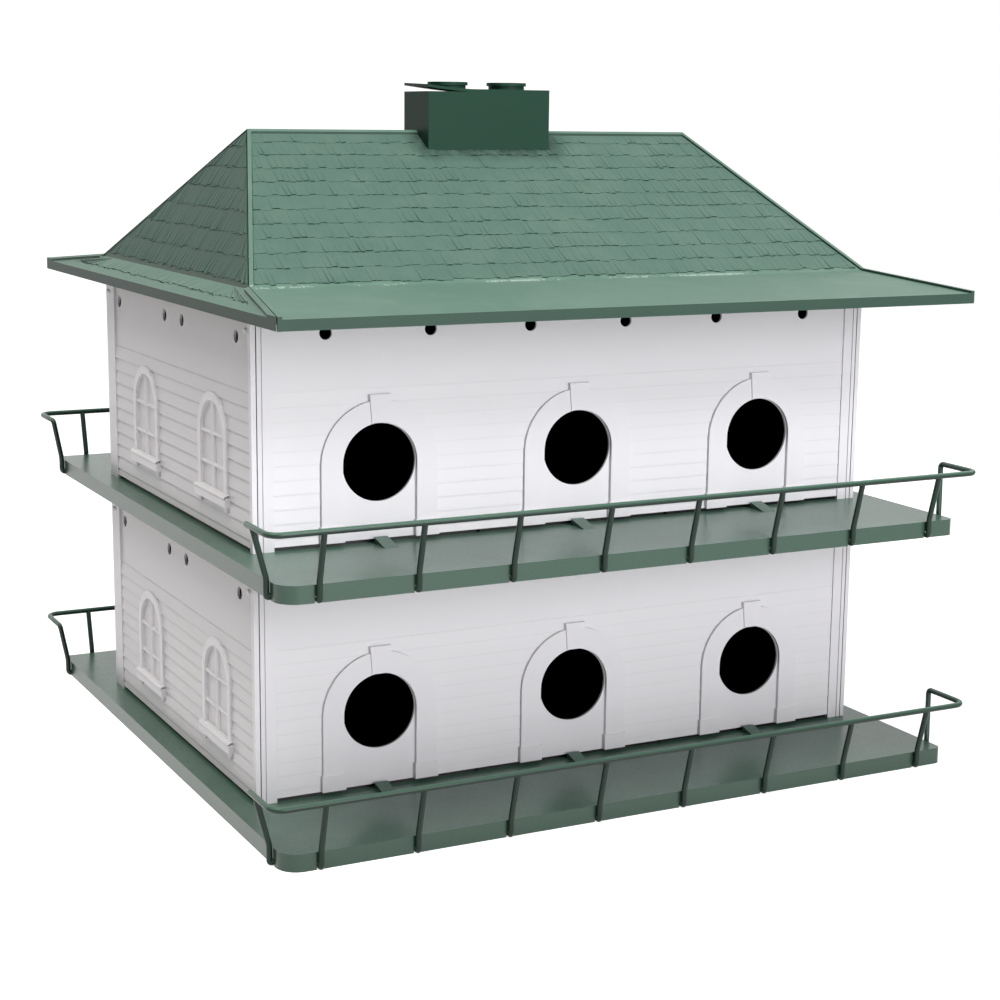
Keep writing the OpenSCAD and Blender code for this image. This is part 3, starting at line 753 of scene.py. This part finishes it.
shakes = {
    "width": (0.003, 0.0078),
    "butt": (0.0003, 0.0011),  # thickness at the middle of a lower edge, thinnest and thickest
    "edge": 0.00025,  # and at its two sides
    "head": 0.0001,
    "ragged": 0.0011,  # how unevenly the butts are cut
    "split": 0.0003,  # open joint between neighbours, where there is one
    "open": 0.08,  # share of the joints that are open
    "shoulder": 0.22,  # share of the width over which a shake rises from its side to its full thickness
    "skew": 0.35,  # how far out of square a butt can be, as a share of its raggedness
    "mostlyThin": 1.3,  # power that makes thin shakes commoner than thick ones
    "overrun": 0.005,  # how far a course starts and ends beyond the hips before it is cut
    "narrowest": 0.0015,  # what is left of a shake at a hip is dropped below this width
    "lastCourse": 0.25,  # a last course is laid where at least this share of it fits
}
# the courses of each kind of slope: how far up the first one lies, from one to the next, and how far
# they stay from the hips and from the slope's upper edge
courses = {
    "long": {"first": 0.004, "pitch": 0.0175, "margin": 0.0036, "topGap": 0.0040, "finish": "shake"},
    "end": {"first": 0.004, "pitch": 0.0165, "margin": 0.0012, "topGap": 0.002, "finish": "shake"},
    "skirt": {"first": 0.0085, "pitch": 0.0200, "margin": 0.0300, "topGap": 0.0006, "finish": "roof"},
}


# a roof slope: point at a distance along the eave and a distance up from its lower edge, raised off the
# slope; its lower and its upper edge are each given as distance out, height and half width
def slopePoint(side, lower, upper, along, up, raised):
    run, rise = lower[0] - upper[0], upper[1] - lower[1]
    length = math.hypot(run, rise)
    out = lower[0] - run * up / length + rise / length * raised
    z = lower[1] + rise * up / length + run / length * raised
    return onSide(side, along, z, out)


# courses of shakes on one slope: each shake is a thin wedge, thickest along the middle of its ragged
# lower edge, cut off at the hips
def shingle(name, side, lower, upper, laying):
    length = math.hypot(lower[0] - upper[0], upper[1] - lower[1])
    top, pitch = length - laying["topGap"], laying["pitch"]
    halfAt = lambda up: lower[2] + (upper[2] - lower[2]) * up / length
    lefts, rights, lows, highs, cuts = [], [], [], [], []
    for low in np.arange(laying["first"], top - shakes["lastCourse"] * pitch, pitch):
        half = halfAt(low)
        widths = seeded.uniform(*shakes["width"], int(2.2 * half / shakes["width"][0]) + 4)
        edges = -half - shakes["overrun"] + np.cumsum(widths)
        edges = edges[edges < half + shakes["overrun"]]
        count = len(edges) - 1
        lefts.append(edges[:-1])
        rights.append(edges[1:] - shakes["split"] * (seeded.random(count) < shakes["open"]))
        lows.append(low + seeded.uniform(-1, 1, count) * shakes["ragged"])
        highs.append(np.full(count, min(low + pitch + shakes["ragged"], top)))
        cuts.append(seeded.uniform(-shakes["skew"], shakes["skew"], count) * shakes["ragged"])
    left, right, low, high, cut = (np.concatenate(v) for v in (lefts, rights, lows, highs, cuts))
    limit = lambda up: halfAt(up) - laying["margin"]
    keep = (np.minimum(right, limit(low)) - np.maximum(left, -limit(low))) > shakes["narrowest"]
    left, right, low, high, cut = (v[keep] for v in (left, right, low, high, cut))
    clip = lambda x, up: np.clip(x, -limit(up), limit(up))
    thin, thick = shakes["butt"]
    butt = thin + (thick - thin) * seeded.random(len(left)) ** shakes["mostlyThin"]
    edge, head, under = (np.full_like(butt, v) for v in (shakes["edge"], shakes["head"], -boards["sunk"]))
    shoulder = shakes["shoulder"] * (right - left)
    across = [left, left + shoulder, right - shoulder, right]
    foot = [low - cut, low - 0.5 * cut, low + 0.5 * cut, low + cut]
    corners = list(zip(across, foot, (edge, butt, butt, edge)))
    corners += [(x, high, head) for x in across] + [(x, up, under) for x, up in zip(across, foot)]
    points = np.stack([slopePoint(side, lower, upper, clip(x, up), up, raised)
                       for x, up, raised in corners], 1)
    tops = [[i, i + 1, i + 5, i + 4] for i in range(3)]
    butts = [[i + 8, i + 9, i + 1, i] for i in range(3)]
    quads = np.array(tops + butts)[None] + len(corners) * np.arange(len(left))[:, None, None]
    part = (points.reshape(-1, 3), quads.reshape(-1, 4))
    return addPiece(name, [part], materials[laying["finish"]])


# the edges of the slopes: distance out, height and half width
breakX, breakY = house["breakHalf"]
eaveX, eaveY = house["eaveHalf"]
longBreak, longRidge = (breakY, house["breakZ"], breakX), (0.0, house["ridgeZ"], house["ridgeHalf"])
endEave, endBreak = (eaveX, house["eaveZ"], eaveY), (breakX, house["breakZ"], breakY)
endPeak = (house["ridgeHalf"], house["ridgeZ"], 0.0)
for side in ("front", "back"):
    shingle(f"roof_{side}_shakes", side, longBreak, longRidge, courses["long"])
for side in ("left", "right"):
    shingle(f"roof_{side}_shakes", side, endBreak, endPeak, courses["end"])
    shingle(f"roof_{side}_skirt_shakes", side, endEave, endBreak, courses["skirt"])
print("roof shingled")

# how high the lid's corner lifts, over what share of its length, with what power, how far its front
# lags behind its back, and into how many rows and columns it is divided
capCurl = {"lift": 0.0045, "from": 0.42, "power": 1.4, "slant": 0.1, "steps": (48, 20)}
capLow, capHigh = (np.array(v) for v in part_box("chimney_cap"))


# a thin lid whose left end curls up: the lift grows with a power of the way towards that end
def curledCap():
    rows, cols = capCurl["steps"]
    u, v = np.meshgrid(np.linspace(0, 1, rows), np.linspace(0, 1, cols), indexing="ij")
    x = capLow[0] + (capHigh[0] - capLow[0]) * u
    y = capLow[1] + (capHigh[1] - capLow[1]) * v
    left = (1 - u) * (1 - capCurl["slant"]) + v * capCurl["slant"]
    towards = np.clip(left - (1 - capCurl["from"]), 0, None) / capCurl["from"]
    lift = capCurl["lift"] * towards ** capCurl["power"]
    top = np.stack([x, y, capHigh[2] + lift], -1).reshape(-1, 3)
    bottom = np.stack([x, y, capLow[2] + lift], -1).reshape(-1, 3)
    quads = gridQuads(rows, cols)
    index = np.arange(rows * cols).reshape(rows, cols)
    rim = np.concatenate([index[:, 0], index[-1, 1:], index[-2::-1, -1], index[0, -2:0:-1]])
    following = np.roll(rim, -1)
    side = np.stack([rim + rows * cols, following + rows * cols, following, rim], -1)
    faces = np.concatenate([quads, quads[:, ::-1] + rows * cols, side])
    return [(np.concatenate([top, bottom]), faces)]


cap = addPiece("chimney_lid", curledCap(), materials["chimney"])
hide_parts("chimney_cap")
print("chimney capped")

rods = {
    "radius": 0.002,
    "around": 14,
    "height": 0.0355,
    "lean": 0.011,  # how far the rail stands out beyond the deck's edge
    "bend": 0.009,  # radius of the rail's corners
    "turn": 0.0035,  # how far from a corner the bent right end starts to turn
    "comeBack": 0.042,  # how far the rail runs back along the ends of the deck
    "overlap": 0.002,  # how far the bent end starts within the rail
    "posts": 8,
    "pitch": 0.0682,
    "endPost": 0.020,  # from the long edge to the post at the end
    "seat": 0.0023,  # from the deck's edge to the middle of a post
    "rim": 0.012,
    "hook": 0.003,  # how far a foot reaches under the rim
    "leanFrom": 0.002,  # height above the deck where a post starts to lean
    "footTurn": 0.00192,  # how far from a corner a foot starts to turn
}


# a polyline with each inner corner rounded: a quadratic curve between points set back from the corner
def softened(corners, radius, steps=7):
    corners = np.asarray(corners, float)
    path = [corners[:1]]
    t = np.linspace(0, 1, steps)[:, None]
    for before, at, after in zip(corners[:-2], corners[1:-1], corners[2:]):
        a = at + (before - at) / np.linalg.norm(before - at) * radius
        b = at + (after - at) / np.linalg.norm(after - at) * radius
        path.append((1 - t) ** 2 * a + 2 * t * (1 - t) * at + t ** 2 * b)
    path.append(corners[-1:])
    return np.concatenate(path)


# a direction square to the path at each of its points: at the first one as near to upright as can be,
# then each time what is left of the last one once its part along the path is taken away
def carriedAlong(tangent):
    carried = np.array([0.0, 0.0, 1.0])
    kept = []
    for along in tangent:
        carried = carried - along * carried.dot(along)
        carried = carried / np.linalg.norm(carried)
        kept.append(carried)
    return np.array(kept)


# a round rod along a path: a circle spanned by two directions square to the path, one of them the plane's
# normal where the path lies in a plane and otherwise carried along it, with each end drawn in
def rodAlong(path, planeNormal):
    tangent = np.gradient(path, axis=0)
    tangent /= np.linalg.norm(tangent, axis=1)[:, None]
    r = rods["radius"]
    shape = np.array([[0.0001, 0.0], [0.55, 0.0], [0.9, 0.12], [1.0, 0.4]])
    ends = np.concatenate([shape[:, 0], np.ones(len(path) - 2), shape[::-1, 0]])
    slide = np.concatenate([shape[:, 1], np.zeros(len(path) - 2), -shape[::-1, 1]])[:, None] * r
    index = np.concatenate([np.zeros(4, int), np.arange(1, len(path) - 1), np.full(4, len(path) - 1)])
    centre = path[index] + tangent[index] * slide
    if planeNormal is None:
        normal = carriedAlong(tangent)[index]
    else:
        normal = np.tile(np.array(planeNormal, float), (len(index), 1))
    across = np.cross(normal, tangent[index])
    angle = np.linspace(0, 2 * math.pi, rods["around"], endpoint=False)[None, :, None]
    ring = np.cos(angle) * across[:, None] + np.sin(angle) * normal[:, None]
    points = centre[:, None] + (ends * r)[:, None, None] * ring
    return points.reshape(-1, 3), gridQuads(len(index), rods["around"], wrapCols=True)


# the rail of one long side as seen from the front, turned half round for the back: the rail itself,
# the bent right end that runs down into a post, the posts of the long edge, the left end's post
def guardRail(side, storey, deckTop):
    deckX, deckY = house["deckHalf"]
    railX, railY, top = deckX + rods["lean"], deckY + rods["lean"], rods["height"]
    back = -railY + rods["comeBack"]
    foot, leanFrom = -rods["rim"] + rods["radius"], rods["leanFrom"]
    seat, hook, endY = rods["seat"], rods["hook"], -deckY + rods["endPost"]
    bend = rods["bend"]
    quarter = np.linspace(0, math.pi / 2, 12)
    left = np.stack([-railX + bend - bend * np.cos(quarter), -railY + bend - bend * np.sin(quarter),
                     np.full(12, top)], 1)
    right = left[::-1] * [-1, 1, 1]
    path = np.concatenate([[[-railX, back, top]], left, right, [[railX, back - rods["turn"], top]]])
    parts = [rodAlong(path, (0, 0, 1))]
    down = np.array([[railX, back - rods["turn"] - rods["overlap"], top], [railX, back, top],
                     [deckX + seat, endY, leanFrom], [deckX + seat, endY, foot], [deckX - hook, endY, foot]])
    parts.append(rodAlong(softened(down, rods["turn"]), None))
    corners = np.array([[0, hook, foot], [0, -seat, foot], [0, -seat, leanFrom], [0, -rods["lean"], top]])
    post = softened(corners, rods["footTurn"])
    for i in range(rods["posts"]):
        shift = np.array([(i - (rods["posts"] - 1) / 2) * rods["pitch"], -deckY, 0])
        parts.append(rodAlong(post + shift, (1, 0, 0)))
    endPost = np.stack([post[:, 1], post[:, 0], post[:, 2]], 1)
    parts.append(rodAlong(endPost + [-deckX, endY, 0], (0, 1, 0)))
    if side == "back":
        parts = [(points * [-1, -1, 1], quads) for points, quads in parts]
    parts = [(points + [0, 0, deckTop], quads) for points, quads in parts]
    rail = addPiece(f"{storey}_{side}_guard_rail", parts, materials["rail"], smooth=True)
    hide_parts(f"{storey}_{side}_rail")


for storey, deckTop in house["floors"].items():
    for side in ("front", "back"):
        guardRail(side, storey, deckTop)
print("rails bent")

studio = {"floorHalf": 6.0, "frontReach": 5.0, "backDistance": 3.2, "bendRadius": 1.2, "height": 4.0,
          "pale": (0.90, 0.90, 0.90, 1.0), "rough": 0.9, "glow": 0.8,
          "air": (0.98, 0.98, 1.0, 1.0), "airGlow": 0.11}


# the floor runs back, bends up over a quarter circle and goes on as a wall
def makeSweep():
    quarter = np.linspace(0, math.pi / 2, 24)
    near, radius = studio["backDistance"], studio["bendRadius"]
    y = np.concatenate([[-studio["frontReach"]], near + radius * np.sin(quarter), [near + radius]])
    z = np.concatenate([[0.0], radius * (1 - np.cos(quarter)), [studio["height"]]])
    x = np.array([-studio["floorHalf"], studio["floorHalf"]])
    points = np.stack(np.broadcast_arrays(x[None, :], y[:, None], z[:, None]), -1).reshape(-1, 3)
    mesh = bpy.data.meshes.new("studioFloor")
    mesh.from_pydata(points.tolist(), [], gridQuads(len(y), 2, flip=True).tolist())
    mesh.polygons.foreach_set("use_smooth", np.ones(len(mesh.polygons), bool))
    floor = bpy.data.objects.new("studioFloor", mesh)
    bpy.context.scene.collection.objects.link(floor)
    paper = bpy.data.materials.new("studioPaper")
    paper.use_nodes = True
    tree = paper.node_tree
    shader = tree.nodes["Principled BSDF"]
    shader.inputs["Base Color"].default_value = studio["pale"]
    shader.inputs["Roughness"].default_value = studio["rough"]
    shader.inputs["Emission Color"].default_value = (1.0, 1.0, 1.0, 1.0)
    # lit from behind for the camera and for mirrored views
    seen = addNode(tree, "ShaderNodeLightPath").outputs
    straight = addMath(tree, "MAXIMUM", seen["Is Camera Ray"], seen["Is Glossy Ray"])
    tree.links.new(addMath(tree, "MULTIPLY", straight, studio["glow"]), shader.inputs["Emission Strength"])
    mesh.materials.append(paper)


makeSweep()

# where each lamp stands, what it points at, how wide it is, and the height from which on it lights the house
lamps = {
    "front": {"at": (0.4, -3.4, 0.9), "to": (0.0, 0.0, 0.25), "size": 2.2, "watts": 66, "above": 0.0,
              "tint": (1.0, 0.995, 1.0)},
    "beam": {"at": (0.5, -2.7, 2.5), "to": (0.0, -0.1, 0.3), "size": 1.2, "watts": 56, "above": 0.17,
             "tint": (1.0, 1.0, 1.0)},
    "left": {"at": (-1.3, -0.5, 3.1), "to": (0.0, 0.0, 0.25), "size": 1.6, "watts": 56, "above": 0.0,
             "tint": (1.0, 0.97, 0.93)},
    "rear": {"at": (2.4, 0.8, 1.9), "to": (0.2, 0.0, 0.25), "size": 1.4, "watts": 12, "above": 0.0,
             "tint": (0.98, 0.99, 1.0)},
}
for name, lamp in lamps.items():
    data = bpy.data.lights.new(name, "AREA")
    data.shape, data.size, data.energy, data.color = "DISK", lamp["size"], lamp["watts"], lamp["tint"]
    light = bpy.data.objects.new(name, data)
    back = np.array(lamp["at"]) - lamp["to"]
    back /= np.linalg.norm(back)
    side = np.cross((0, 0, 1), back)
    side /= np.linalg.norm(side)
    turn = np.eye(4)
    turn[:3, :4] = np.stack([side, np.cross(back, side), back, lamp["at"]], 1)
    light.matrix_world = Matrix(turn.tolist())
    bpy.context.scene.collection.objects.link(light)
    if lamp["above"]:
        lit = bpy.data.collections.new(name + "Receivers")
        for piece in [p for p in bpy.data.objects if p.type == "MESH"]:
            if min((piece.matrix_world @ Vector(corner)).z for corner in piece.bound_box) > lamp["above"]:
                lit.objects.link(piece)
        light.light_linking.receiver_collection = lit

world = bpy.data.worlds.new("studioAir")
world.use_nodes = True
world.node_tree.nodes["Background"].inputs["Color"].default_value = studio["air"]
world.node_tree.nodes["Background"].inputs["Strength"].default_value = studio["airGlow"]
bpy.context.scene.world = world
bpy.context.scene.view_settings.view_transform = "Standard"

# where the camera stands and which ways its right, its top and its back point
lens = {"focal": 71.12, "at": (-0.6854, -1.3810, 0.4725), "right": (0.89051, -0.45485, 0.01057),
        "up": (0.07671, 0.173, 0.98193), "back": (-0.44846, -0.8736, 0.18895)}
cameraData = bpy.data.cameras.new("camera")
cameraData.lens, cameraData.sensor_width = lens["focal"], 36.0
camera = bpy.data.objects.new("camera", cameraData)
placed = np.eye(4)
placed[:3, :4] = np.stack([lens["right"], lens["up"], lens["back"], lens["at"]], 1)
camera.matrix_world = Matrix(placed.tolist())
bpy.context.scene.collection.objects.link(camera)
bpy.context.scene.camera = camera
print("studio lit")
